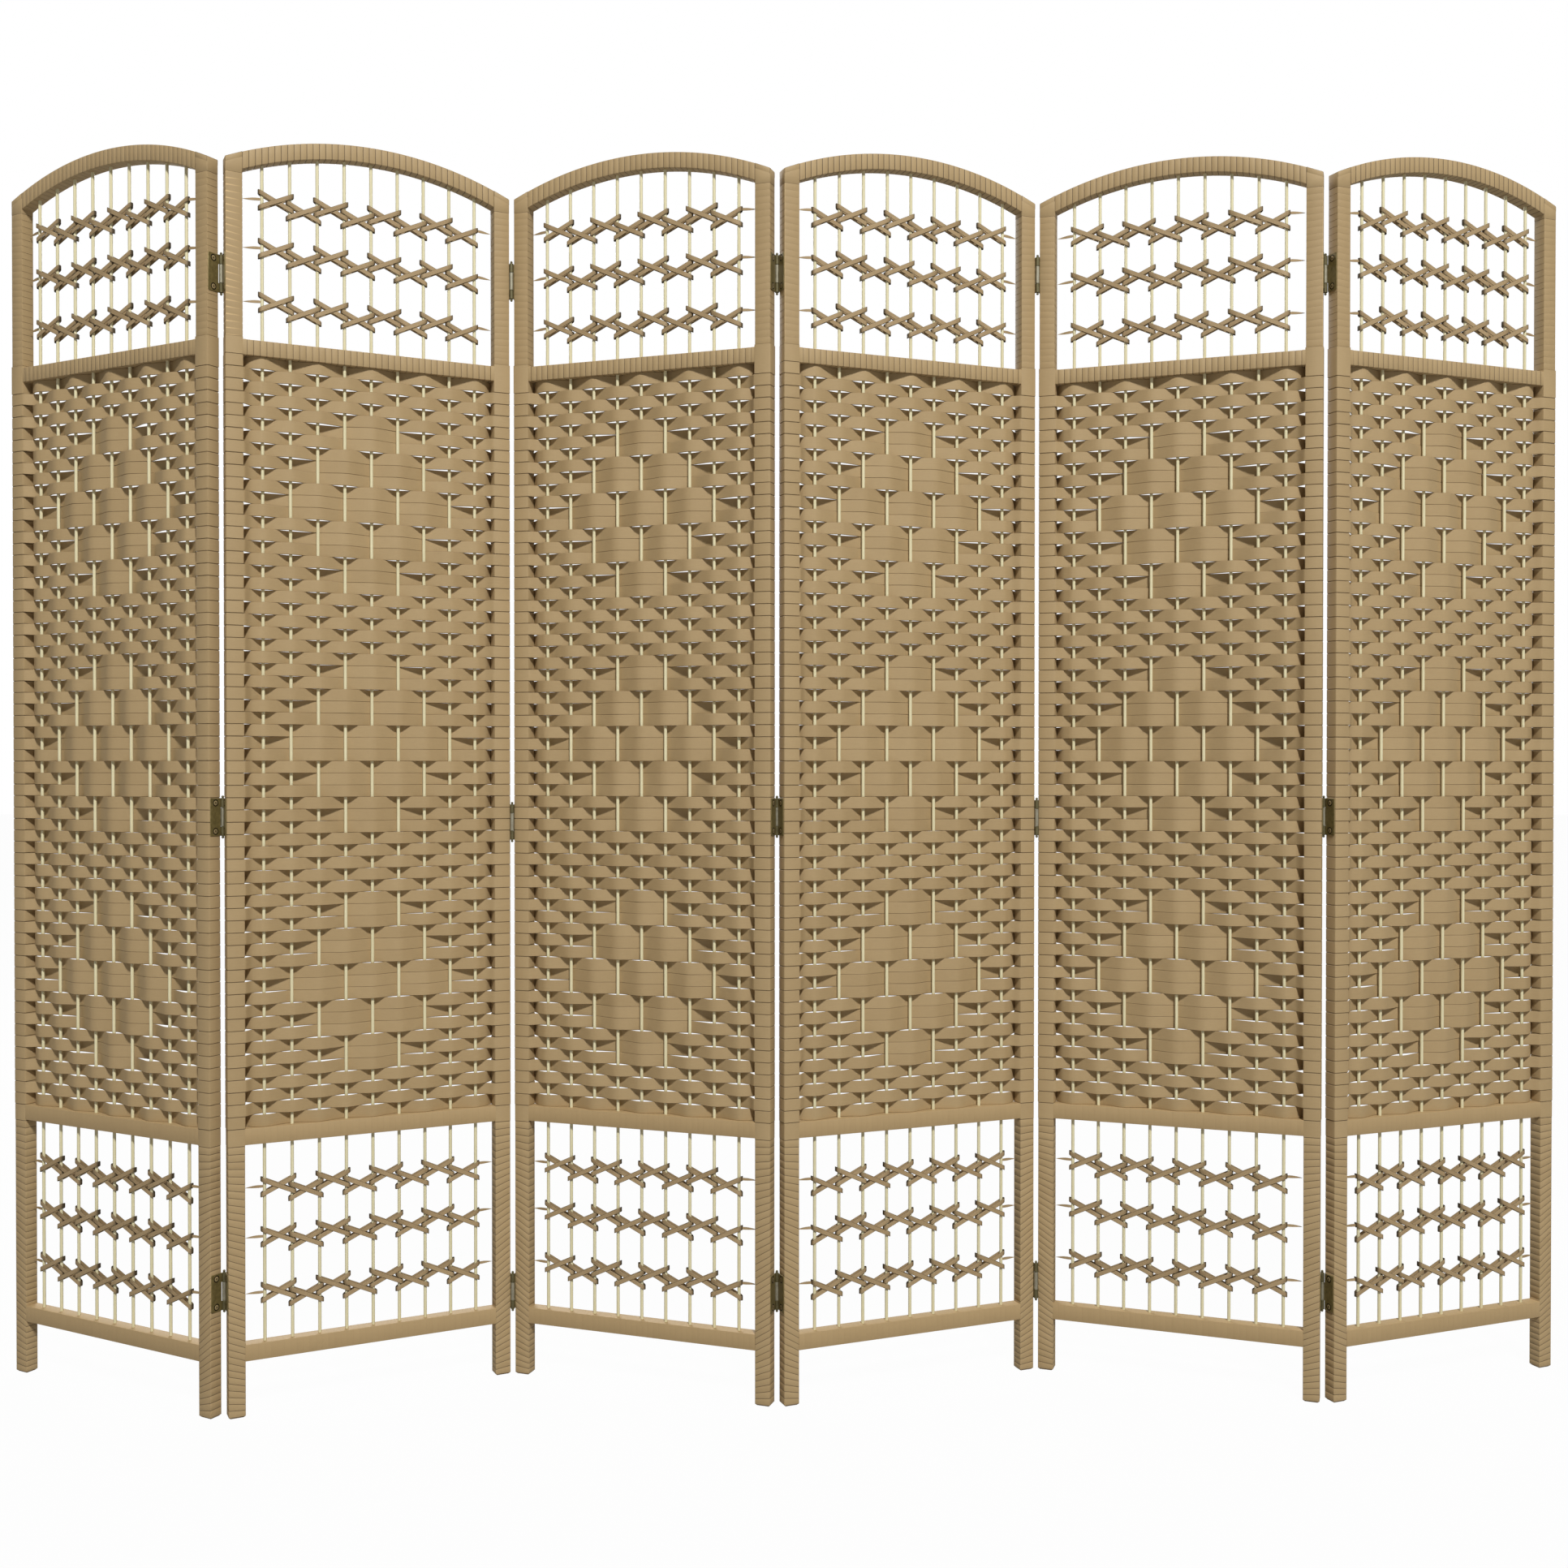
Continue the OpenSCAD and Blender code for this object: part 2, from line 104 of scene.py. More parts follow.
# %% Camera
LENS_PX, PHOTO_PX, SENSOR_MM = 2083.19, 1932, 36.0
PITCH, ROLL = math.radians(0.55), math.radians(-0.01)
EYE_X, EYE_Y, EYE_Z = 1133.81, -2507.64, 894.88
camera_data = bpy.data.cameras.new("camera")
camera_data.sensor_width = SENSOR_MM
camera_data.lens = LENS_PX / PHOTO_PX * SENSOR_MM
camera_data.clip_end = 100.0
camera = bpy.data.objects.new("camera", camera_data)
camera.location = ((EYE_X - CENTRE[0]) / 1000, (EYE_Y - CENTRE[1]) / 1000, EYE_Z / 1000)
camera.rotation_euler = (math.radians(90) - PITCH, ROLL, 0.0)
bpy.context.scene.collection.objects.link(camera)
bpy.context.scene.camera = camera
print("camera", tuple(round(c, 3) for c in camera.location), "lens", round(camera_data.lens, 2))

# %% [markdown]
# ## Light
# One broad soft lamp stands high behind the camera, a little to the right, so the upper part of the screen is a bit
# brighter than its feet and the second, fourth and sixth panels catch more of it than the other three. A weak lamp
# behind the screen keeps the back readable, and a pale room fills the shadows.

# %% Lamps
LOOK_AT_Z = 0.9


def soft_lamp(name, watts, size, azimuth, distance, height):
    """A round lamp that looks at the screen's middle, distance metres away on the floor at an azimuth from -Y.

    It is tilted from straight down by atan2(distance, height - LOOK_AT_Z)."""
    lamp = bpy.data.lights.new(name, "AREA")
    lamp.shape, lamp.size, lamp.energy = "DISK", size, watts
    holder = bpy.data.objects.new(name, lamp)
    a = math.radians(azimuth)
    holder.location = (math.sin(a) * distance, -math.cos(a) * distance, height)
    holder.rotation_euler = (math.atan2(distance, height - LOOK_AT_Z), 0.0, a)
    bpy.context.scene.collection.objects.link(holder)


soft_lamp("key", watts=1150.0, size=1.5, azimuth=13.0, distance=8.0, height=8.6)
soft_lamp("back", watts=140.0, size=2.5, azimuth=200.0, distance=4.5, height=3.2)
bpy.context.scene.view_settings.view_transform = "Standard"
world = bpy.context.scene.world or bpy.data.worlds.new("room")
bpy.context.scene.world = world


# %% [markdown]
# ## A way to write shader sums
# A material is a graph of nodes. The small class below wraps one output of a node, so that sums can be written as
# in Python, and one method adds any other node with its settings and its inputs.

# %% Shader values
def plug(tree, socket, value):
    """Link a wrapped output to a socket, or set the socket to a number or a colour."""
    if isinstance(value, Wire):
        tree.links.new(value.out, socket)
    elif value is not None:
        socket.default_value = value


class Wire:
    """One output of a node, which adds, subtracts, multiplies, divides and is raised to a power as a number does."""

    def __init__(self, tree, out):
        self.tree, self.out = tree, out

    def sum_of(self, operation, a, b):
        n = self.tree.nodes.new("ShaderNodeMath")
        n.operation = operation
        plug(self.tree, n.inputs[0], a)
        plug(self.tree, n.inputs[1], b)
        return Wire(self.tree, n.outputs[0])

    def __add__(self, o): return self.sum_of("ADD", self, o)
    def __radd__(self, o): return self.sum_of("ADD", o, self)
    def __sub__(self, o): return self.sum_of("SUBTRACT", self, o)
    def __rsub__(self, o): return self.sum_of("SUBTRACT", o, self)
    def __mul__(self, o): return self.sum_of("MULTIPLY", self, o)
    def __rmul__(self, o): return self.sum_of("MULTIPLY", o, self)
    def __truediv__(self, o): return self.sum_of("DIVIDE", self, o)
    def __pow__(self, o): return self.sum_of("POWER", self, o)


class Finish:
    """A material and its node tree."""

    def __init__(self, name):
        self.material = bpy.data.materials.new(name)
        self.material.use_nodes = True
        self.tree = self.material.node_tree
        self.shader = self.tree.nodes["Principled BSDF"]

    def node(self, kind, settings=None, out=0, **inputs):
        """Add a node of a kind, set its settings first and then its sockets, and return one output.

        A socket is given by its name, or as i and its number where several sockets share a name."""
        n = self.tree.nodes.new("ShaderNode" + kind)
        for key_name, value in (settings or {}).items():
            setattr(n, key_name, value)
        for socket, value in inputs.items():
            numbered = socket[0] == "i" and socket[1:].isdigit()
            plug(self.tree, n.inputs[int(socket[1:]) if numbered else socket], value)
        return Wire(self.tree, n.outputs[out])

    def blend(self, factor, a, b):
        """A colour between a and b."""
        return self.node("Mix", {"data_type": "RGBA"}, 2, i0=factor, i6=a, i7=b)

    def tinted(self, colour, amount):
        """A colour times a number."""
        return self.node("VectorMath", {"operation": "SCALE"}, 0, i0=colour, i3=amount)

    def stretched(self, source, scale):
        """A coordinate times three numbers."""
        return self.node("VectorMath", {"operation": "MULTIPLY"}, 0, i0=source, i1=scale)

    def noise(self, where, scale=1.0, detail=3.0, rough=0.5):
        return self.node("TexNoise", None, 0, Vector=where, Scale=scale, Detail=detail, Roughness=rough)

    def set(self, **sockets):
        for name, value in sockets.items():
            plug(self.tree, self.shader.inputs[name.replace("_", " ")], value)

    def bump(self, height, strength, distance):
        self.set(Normal=self.node("Bump", None, 0, Strength=strength, Distance=distance, Height=height))


def srgb(*c):
    """A colour given as 0 to 255 screen values, as the linear values that shaders use."""
    c = np.array(c) / 255.0
    return tuple(np.where(c <= 0.04045, c / 12.92, ((c + 0.055) / 1.055) ** 2.4)) + (1.0,)


# %% [markdown]
# ## Room
# The camera and clean reflections see a white room. As a light it is faint and warm, so that the lamps make the
# shadows. The floor looks white to the camera too, with only a trace of the screen's shadow, and is pale to the light.

# %% White room and pale floor
WHITE, WARM = (1.0, 1.0, 1.0, 1.0), (1.0, 0.9, 0.77, 1.0)
ROOM_FILL, FLOOR_GLOW, FLOOR_HALF = 0.06, 0.975, 30
world.use_nodes = True
room = world.node_tree
background = room.nodes["Background"]
path = room.nodes.new("ShaderNodeLightPath")
seen = Wire(room, path.outputs["Is Camera Ray"])
mirror = Wire(room, path.outputs["Is Glossy Ray"])
direct = seen.sum_of("MAXIMUM", seen, mirror)
tint = room.nodes.new("ShaderNodeMix")
tint.data_type = "RGBA"
tint.inputs[6].default_value, tint.inputs[7].default_value = WARM, WHITE
plug(room, tint.inputs[0], direct)
room.links.new(tint.outputs[2], background.inputs["Color"])
plug(room, background.inputs["Strength"], direct * (1.0 - ROOM_FILL) + ROOM_FILL)

floor_finish = Finish("floor_pale")
floor_finish.set(Base_Color=(0.45, 0.45, 0.45, 1.0), Roughness=0.9)
floor_seen = floor_finish.node("LightPath", None, "Is Camera Ray")
glow = floor_finish.node("Emission", None, 0, Color=WHITE, Strength=1.0)
plain = Wire(floor_finish.tree, floor_finish.shader.outputs[0])
both = floor_finish.node("MixShader", None, 0, i0=floor_seen * FLOOR_GLOW, i1=plain, i2=glow)
floor_finish.tree.links.new(both.out, floor_finish.tree.nodes["Material Output"].inputs["Surface"])
floor_mesh = bpy.data.meshes.new("floor")
floor_corners = [(x * FLOOR_HALF, y * FLOOR_HALF, 0) for x, y in ((-1, -1), (1, -1), (1, 1), (-1, 1))]
floor_mesh.from_pydata(floor_corners, [], [(0, 1, 2, 3)])
floor_mesh.materials.append(floor_finish.material)
floor = bpy.data.objects.new("floor", floor_mesh)
bpy.context.scene.collection.objects.link(floor)

# %% [markdown]
# ## Finishes
# The band and the strips are a flat fibre ribbon: matte, tan, with a fine grain along its length and dark edges, which
# are painted shade in the gaps between turns and partly wear. The grain follows each strip through its own UV map in
# metres. A random tone for each strip is kept in an attribute, and a second attribute says how much painted shade an
# edge adds to the colour, or how much painted highlight where it is below 0. Noise scales are in waves for a metre.

# %% Fibre ribbon
CLOUD_SHARE, MOTTLE_SHARE = 0.4, 0.12


def ribbon(name, light, dark, edge_shade, grain=0.35, vary=0.26):
    """Fibre between two colours. The factor is 0.5 plus the shares of grain, cloud, tone and mottle, each round 0."""
    f = Finish(name)
    along = f.node("UVMap", {"uv_map": "ribbon"})
    tone = f.node("Attribute", {"attribute_name": "tone"}, 2)
    edge = f.node("Attribute", {"attribute_name": "edge"}, 2)
    fine = f.noise(f.stretched(along, (90.0, 2600.0, 1.0)), 1.0, 2.0, 0.6)
    cloud = f.noise(f.stretched(along, (26.0, 60.0, 1.0)), 1.0, 3.0, 0.55)
    mottle = f.noise(f.stretched(along, (700.0, 700.0, 1.0)), 1.0, 2.0, 0.5)
    shade = ((fine - 0.5) * grain + (cloud - 0.5) * CLOUD_SHARE + (tone - 0.5) * vary
             + (mottle - 0.5) * MOTTLE_SHARE + 0.5)
    colour = f.blend(shade, dark, light)
    # The edge attribute darkens the colour with painted shade, or lightens it with a painted highlight where it is
    # below 0
    f.set(Base_Color=f.tinted(colour, 1.0 - edge * edge_shade), Roughness=0.62 + (fine - 0.5) * 0.2)
    f.shader.inputs["Specular IOR Level"].default_value = 0.32
    f.bump(fine * 0.7 + mottle * 0.3, 0.35, 0.0002)
    return f.material


WOVEN = ribbon("woven_strip", srgb(185, 160, 119), srgb(164, 139, 99), 0.5)
WOUND = ribbon("wrap_band", srgb(186, 161, 120), srgb(166, 141, 101), 0.95)
PLAIN_WOUND = ribbon("wrap_band_plain", srgb(184, 158, 116), srgb(169, 143, 102), 0.05, 0.2, 0.08)
# The posts' band is a little darker than the legs' band: painted shade that tones down the lamp's light up there
POST_WOUND = ribbon("wrap_band_posts", srgb(180, 155, 114), srgb(165, 140, 100), 0.9, 0.3, 0.08)
TWINED = ribbon("binding_strip", srgb(187, 163, 124), srgb(146, 121, 86), 1.0)


# %% Rods, bare wood and bronze
def rod_finish():
    """Pale round rods with streaks along their height."""
    f = Finish("rod_wood")
    where = f.node("TexCoord", None, 3)
    streak = f.noise(f.stretched(where, (900.0, 900.0, 14.0)), 1.0, 3.0, 0.6)
    patch = f.noise(f.stretched(where, (40.0, 40.0, 9.0)), 1.0, 2.0, 0.5)
    colour = f.blend(streak * 0.7 + patch * 0.3, srgb(208, 198, 150), srgb(243, 236, 202))
    f.set(Base_Color=colour, Roughness=0.45 + (streak - 0.5) * 0.25)
    f.bump(streak, 0.25, 0.0002)
    return f.material


def wood_finish(name, light, dark):
    """Bare wood with its grain upright."""
    f = Finish(name)
    where = f.node("TexCoord", None, 3)
    grain = f.noise(f.stretched(where, (260.0, 260.0, 11.0)), 1.0, 4.0, 0.6)
    ring = f.noise(f.stretched(where, (60.0, 60.0, 2.5)), 1.0, 2.0, 0.5)
    f.set(Base_Color=f.blend(grain * 0.6 + ring * 0.4, dark, light), Roughness=0.6 + (grain - 0.5) * 0.2)
    f.bump(grain, 0.3, 0.0003)
    return f.material


def bronze_finish(name, light, dark, rough, metal=0.85):
    """Old bronze: a patina between two colours, and rougher and less metallic where the patina is strong."""
    f = Finish(name)
    where = f.node("TexCoord", None, 3)
    patina = f.noise(f.stretched(where, (220.0, 220.0, 220.0)), 1.0, 4.0, 0.6)
    brushed = f.noise(f.stretched(where, (1500.0, 1500.0, 60.0)), 1.0, 2.0, 0.5)
    f.set(Base_Color=f.blend(patina * 0.8 + brushed * 0.2, dark, light), Metallic=metal - (patina - 0.5) * 0.3,
          Roughness=rough + (patina - 0.5) * 0.3)
    f.bump(brushed * 0.5 + patina * 0.5, 0.25, 0.0002)
    return f.material


ROD_WOOD = rod_finish()
FRAME_WOOD = wood_finish("frame_wood", srgb(186, 158, 118), srgb(148, 118, 82))
DOWEL_WOOD = wood_finish("dowel_wood", srgb(200, 174, 134), srgb(170, 142, 102))
BRONZE = bronze_finish("hinge_bronze", srgb(116, 108, 74), srgb(68, 62, 38), 0.5, 0.55)
finish_of = {"stiles": FRAME_WOOD, "rails": FRAME_WOOD, "dowels": DOWEL_WOOD, "rods": ROD_WOOD}
for name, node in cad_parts.items():
    material = BRONZE if name.startswith("hinge_pins") else finish_of.get(name[len("panel_1_"):])
    if material:
        for n in range(len(node.material_slots)):
            node.material_slots[n].material = material
print("materials", [m.name for m in bpy.data.materials])


# %% [markdown]
# ## Strips as arrays
# Every soft piece here is a set of flat strips. A strip is a line of stations, and at each station stands the same
# small cross profile, a flat hexagon whose pointed sides are the strip's bevelled edges. One function turns an array
# of such profiles, strip by station by profile point, into one mesh with its UV map, tone and edge attributes.

# %% Mesh of many strips
# Points 0 and 3 of the hexagon are its pointed sides. ACROSS is the way round it, in strip widths
EDGE_OF_POINT = np.array([1.0, 0.0, 0.0, 1.0, 0.0, 0.0])
ACROSS = np.array([0.0, 0.08, 0.92, 1.0, 1.92, 2.08, 2.0])
UV_SPREAD, UV_SKEW, SHARP = 9.0, 0.37, math.radians(38)
rng = np.random.default_rng(7)


def strips_mesh(name, points, k, closed, material, width, edge_of=None):
    """points[n, m, p] is profile point p at station m of strip n, in millimetres of panel k.

    The quads join point (m, p) to (m+1, p), (m+1, p+1) and (m, p+1). A closed strip joins its last station to the
    first, an open one gets two end caps. A strip whose signed volume is negative has its faces turned round."""
    N, M, P, _ = points.shape
    a = HEADING[k]
    x = points[..., 0] * math.cos(a) - points[..., 1] * math.sin(a) + corners[k][0] - CENTRE[0]
    y = points[..., 0] * math.sin(a) + points[..., 1] * math.cos(a) + corners[k][1] - CENTRE[1]
    world_points = np.stack([x, y, points[..., 2]], -1) / 1000.0
    stations = M if closed else M - 1
    n, m, p = np.meshgrid(np.arange(N), np.arange(stations), np.arange(P), indexing="ij")
    index = lambda mm, pp: (n * M + mm % M) * P + pp % P
    quads = np.stack([index(m, p), index(m + 1, p), index(m + 1, p + 1), index(m, p + 1)], -1)
    flat = world_points.reshape(-1, 3)
    v0, v1, v2, v3 = (flat[quads[..., c]] for c in range(4))
    volume = np.einsum("nmpc,nmpc->n", v0, np.cross(v1, v2)) + np.einsum("nmpc,nmpc->n", v0, np.cross(v2, v3))
    turn = volume < 0
    length = np.zeros((N, M + 1))
    step = np.linalg.norm(np.diff(np.concatenate([world_points, world_points[:, :1]], 1).mean(2), axis=1), axis=2)
    length[:, 1:] = np.cumsum(step, 1)
    across = (ACROSS if P == 6 else np.linspace(0, 1, P + 1)) * width / 1000.0
    offset = rng.uniform(0.0, UV_SPREAD, N)
    uv_of = lambda mm, pp: np.stack([length[n, mm] + offset[n], across[pp] + offset[n] * UV_SKEW], -1)
    uv = np.stack([uv_of(m, p), uv_of(m + 1, p), uv_of(m + 1, p + 1), uv_of(m, p + 1)], -2)
    quads[turn], uv[turn] = quads[turn][..., ::-1], uv[turn][..., ::-1, :]
    loops, uvs, sizes = quads.reshape(-1), uv.reshape(-1, 2), np.full(quads[..., 0].size, 4)
    if not closed:
        base = (np.arange(N) * M * P)[:, None]
        first, last = base + np.arange(P), base + (M - 1) * P + np.arange(P)[::-1]
        caps = np.stack([first, last], 1)
        caps[turn] = caps[turn][..., ::-1]
        loops = np.concatenate([loops, caps.reshape(-1)])
        uvs = np.concatenate([uvs, np.zeros((caps.size, 2))])
        sizes = np.concatenate([sizes, np.full(caps.size // P, P)])
    mesh = bpy.data.meshes.new(name)
    mesh.vertices.add(flat.shape[0])
    mesh.vertices.foreach_set("co", flat.reshape(-1))
    mesh.loops.add(loops.size)
    mesh.loops.foreach_set("vertex_index", loops.astype(np.int32))
    mesh.polygons.add(sizes.size)
    mesh.polygons.foreach_set("loop_start", np.concatenate([[0], np.cumsum(sizes)[:-1]]).astype(np.int32))
    mesh.polygons.foreach_set("loop_total", sizes.astype(np.int32))
    mesh.uv_layers.new(name="ribbon").data.foreach_set("uv", uvs.reshape(-1))
    tone = mesh.attributes.new("tone", "FLOAT", "POINT")
    tone.data.foreach_set("value", np.repeat(rng.uniform(0.0, 1.0, N), M * P).astype(np.float32))
    edge = mesh.attributes.new("edge", "FLOAT", "POINT")
    edge_of = (EDGE_OF_POINT if P == 6 else np.zeros(P)) if edge_of is None else edge_of
    edge.data.foreach_set("value", np.broadcast_to(edge_of, (N, M, P)).reshape(-1).astype(np.float32))
    mesh.update(calc_edges=True)
    mesh.polygons.foreach_set("use_smooth", np.ones(sizes.size, bool))
    mesh.set_sharp_from_angle(angle=SHARP)
    mesh.materials.append(material)
    piece = bpy.data.objects.new(name, mesh)
    bpy.context.scene.collection.objects.link(piece)
    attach(piece, f"panel_{k + 1}")
    return piece


def flat_profile(line_u, line_v, thickness, low_z, high_z, bevel):
    """Stand the hexagon profile on a plan line.

    The line's normal is its tangent turned by a right angle. Profile points sit at (height, side):
    (low, 0), (low+bevel, +t/2), (high-bevel, +t/2), (high, 0), (high-bevel, -t/2), (low+bevel, -t/2)."""
    tu, tv = np.gradient(line_u, axis=-1), np.gradient(line_v, axis=-1)
    size = np.hypot(tu, tv) + 1e-9
    nu, nv = -tv / size, tu / size
    side = np.array([0, 1, 1, 0, -1, -1]) * thickness / 2
    rise = np.stack([low_z, low_z + bevel, high_z - bevel, high_z, high_z - bevel, low_z + bevel], -1)
    u = line_u[..., None] + nu[..., None] * side
    v = line_v[..., None] + nv[..., None] * side
    return np.stack([u, v, np.broadcast_to(rise, u.shape)], -1)


# %% [markdown]
# ## The weave
# Sixty-three strips pass alternately in front of and behind nine rods. In three diamonds the middle strip of each
# group of three is switched, so that short blocks of three strips face the viewer. Between two rods a strip runs
# almost straight, and over a rod it bends in a small curve: a zigzag averaged over a few millimetres does just that.
# At each stile the strip leaves one face, takes a whole turn round the stile and ends on its inner side.

# %% Which rods a strip passes in front of
PLAIN_ROWS, DIAMONDS, DIAMOND_PITCH, GROUP_ROWS, GROUPS_SIDE = 4, 3, 20, 3, 3
DIAMOND_ROWS = GROUP_ROWS * (2 * GROUPS_SIDE - 1)
row = np.arange(1, ROWS + 1)[:, None]
rod = np.arange(1, RODS + 1)[None, :]
below_plain = row - 1 - PLAIN_ROWS
in_pitch = below_plain % DIAMOND_PITCH
in_diamond = (below_plain >= 0) & (below_plain < DIAMONDS * DIAMOND_PITCH) & (in_pitch < DIAMOND_ROWS)
group = GROUPS_SIDE - np.abs(in_pitch // GROUP_ROWS - (GROUPS_SIDE - 1))
off = np.abs(rod - MIDDLE_ROD)
switched = in_diamond & (in_pitch % GROUP_ROWS == 1) & (off <= group)
FRONT = np.where(switched, (off + group) % 2 == 1, (row + rod) % 2 == 0)
print("strips in front of the middle rod", int(FRONT[:, MIDDLE_ROD - 1].sum()), "of", ROWS)

# %% Plan line of each strip
RING_V = FRAME_T / 2 + PROUD - STRIP_T / 2
RING_U = STILE_W / 2 + PROUD - STRIP_T / 2
RING_ROUND, RING_START = 2.0, 2.4
SWING, ROUNDING, LEAVE, CROSSING = 7.0, 12.0, 0.8, 10.5
NEAR_STATIONS, MIDDLE_STATIONS, SAMPLES = 12, 49, 13


def corner_angles(steps=(0, 45, 90)):
    """Angles in radians round a box, corner by corner, each corner with the same steps in degrees."""
    return np.radians([s + t for s in (0, 90, 180, 270) for t in steps])


def rounded_corner(cu, cv, start, r):
    """Three points of a quarter circle of radius r, from the angle start, inside the corner at (cu, cv)."""
    angles = np.radians(start + np.array([0.0, 45.0, 90.0]))
    return np.stack([cu - np.sign(cu) * r + r * np.cos(angles), cv - np.sign(cv) * r + r * np.sin(angles)], -1)


def strip_lines():
    """Plan lines of all strips as two arrays, strip by station.

    Middle: v is the straight zigzag through the rods, averaged over the window u - width/2 to u + width/2, where width
    is ROUNDING in the middle and falls towards the stiles. The zigzag leaves the stile's face at LEAVE from the stile
    and crosses the rods' plane at CROSSING from it.
    Ends: round the stile's centre, one turn of a rounded box that starts on the stile's inner side."""
    swing = np.where(FRONT, -1.0, 1.0) * SWING
    left, right = np.where(FRONT[:, :1], RING_V, -RING_V), np.where(FRONT[:, -1:], RING_V, -RING_V)
    start = STILE_W / 2 + RING_U
    near = start + (ROD_U[0] - start) * np.linspace(0, 1, NEAR_STATIONS) ** 1.3
    middle = np.concatenate([near[:-1], np.linspace(ROD_U[0], ROD_U[-1], MIDDLE_STATIONS), PANEL_W - near[-2::-1]])
    width = np.interp(np.abs(middle - PANEL_W / 2), [150.0, 166.0, 177.0], [ROUNDING, 7.0, 3.0])
    window = middle[:, None] + np.linspace(-0.5, 0.5, SAMPLES)[None, :] * width[:, None]
    stops = np.concatenate([[0.0, STILE_W + LEAVE, STILE_W + CROSSING], ROD_U])
    stops = np.concatenate([stops, PANEL_W - stops[2::-1]])
    v = np.stack([np.interp(window, stops, np.concatenate([l, l, [0.0], mid, [0.0], r, r])).mean(-1)
                  for l, mid, r in zip(left, swing, right)])
    u = np.broadcast_to(middle, v.shape)
    turn = np.concatenate([[[RING_U, -RING_V + RING_START]], rounded_corner(RING_U, RING_V, 0, RING_ROUND),
                           rounded_corner(-RING_U, RING_V, 90, RING_ROUND),
                           rounded_corner(-RING_U, -RING_V, 180, RING_ROUND)])
    lu = np.broadcast_to(STILE_W / 2 + turn[:, 0], (ROWS, len(turn)))
    lv = turn[None, :, 1] * -np.sign(left)
    ru = np.broadcast_to(PANEL_W - STILE_W / 2 - turn[::-1, 0], (ROWS, len(turn)))
    rv = turn[None, ::-1, 1] * -np.sign(right)
    return np.concatenate([lu, u, ru], 1), np.concatenate([lv, v, rv], 1)


line_u, line_v = strip_lines()
print("stations in a strip", line_u.shape[1], "deepest", round(float(np.abs(line_v).max()), 2))

# %% Weave of each panel
# Each strip wanders a little in height, swings a little more or less than the next, and is wider between the rods
# than round the stiles: it gains SWELL at both edges once it is 12 mm nearer the middle than 174 mm
TOP_GAP, WANDER, SWAY, SWELL, STRIP_BEVEL = 0.12, 0.12, 0.05, 0.28, 0.7
for k in range(PANELS):
    top = WEAVE_TOP - (row[:, 0] - 1) * ROW_PITCH - TOP_GAP
    wander = rng.uniform(-WANDER, WANDER, (ROWS, 1)) * np.sin(line_u / 60.0 + rng.uniform(0, 6, (ROWS, 1)))
    high_z = top[:, None] + wander
    swell = np.clip((174.0 - np.abs(line_u - PANEL_W / 2)) / 12.0, 0.0, 1.0) * SWELL
    low_z, high_z = high_z - ROW_PITCH + SWELL - swell, high_z + swell
    sway = 1.0 + rng.uniform(-SWAY, SWAY, (ROWS, 1)) * (np.abs(line_u - PANEL_W / 2) < 155)
    strips = flat_profile(line_u, line_v * sway, STRIP_T, low_z, high_z, STRIP_BEVEL)
    weave = strips_mesh(f"woven_strips_{k + 1}", strips, k, False, WOVEN, ROW_PITCH)
    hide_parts(f"panel_{k + 1}_weave")
print("faces in one weave", len(weave.data.polygons))


# %% [markdown]
# ## The band round the frame
# A narrow band is wound turn by turn round the stiles, the rails and the arch. Each turn is a closed ring. On a
# stile its two edges lie in planes that lean a little, as the wound turns do in the photograph. On the rails and the
# arch the edges are upright, and the ring follows the arch's curve.

# %% Turns round a stile
def stile_turns(u_mid, lines, leans, gap, proud, bevel, groove=0.25, side_groove=0.25):
    """Rings round the stile at u_mid between neighbouring lines.

    Line n is the plane z = lines[n] + leans[n] * (u - u_mid). The outline is a box with rounded corners, and the
    profile goes from the lower line to the upper one on the outside and back on the inside. Its pointed sides lie
    groove deep on the front and back and side_groove deep on the sides."""
    hu, hv, r, angles = STILE_W / 2, FRAME_T / 2, 1.1, corner_angles()
    loop = np.concatenate([rounded_corner(hu, hv, 0, r), rounded_corner(-hu, hv, 90, r),
                           rounded_corner(-hu, -hv, 180, r), rounded_corner(hu, -hv, 270, r)])
    out = np.stack([np.cos(angles), np.sin(angles)], -1)
    sink = -(groove + (side_groove - groove) * out[:, :1] ** 2)
    raised, inside = np.full((12, 1), proud), np.full((12, 1), -0.95)
    offset = np.concatenate([sink, raised, raised, sink, inside, inside], 1)[None]
    lower = lines[:-1, None] + leans[:-1, None] * loop[None, :, 0] + gap / 2
    upper = lines[1:, None] + leans[1:, None] * loop[None, :, 0] - gap / 2
    z = np.stack([lower, lower + bevel, upper - bevel, upper, upper - bevel, lower + bevel], -1)
    u = u_mid + loop[None, :, None, 0] + out[None, :, None, 0] * offset
    v = loop[None, :, None, 1] + out[None, :, None, 1] * offset
    return np.stack([np.broadcast_to(u, z.shape), np.broadcast_to(v, z.shape), z], -1)


def arch_z(u, r=ARCH_R):
    """Height of a circle of radius r round the arch's centre, at u."""
    return PANEL_H - ARCH_R + np.sqrt(r * r - (u - PANEL_W / 2) ** 2)


def level(z):
    """The height of a straight rail's face, at any u."""
    return lambda u: np.full_like(u, z)


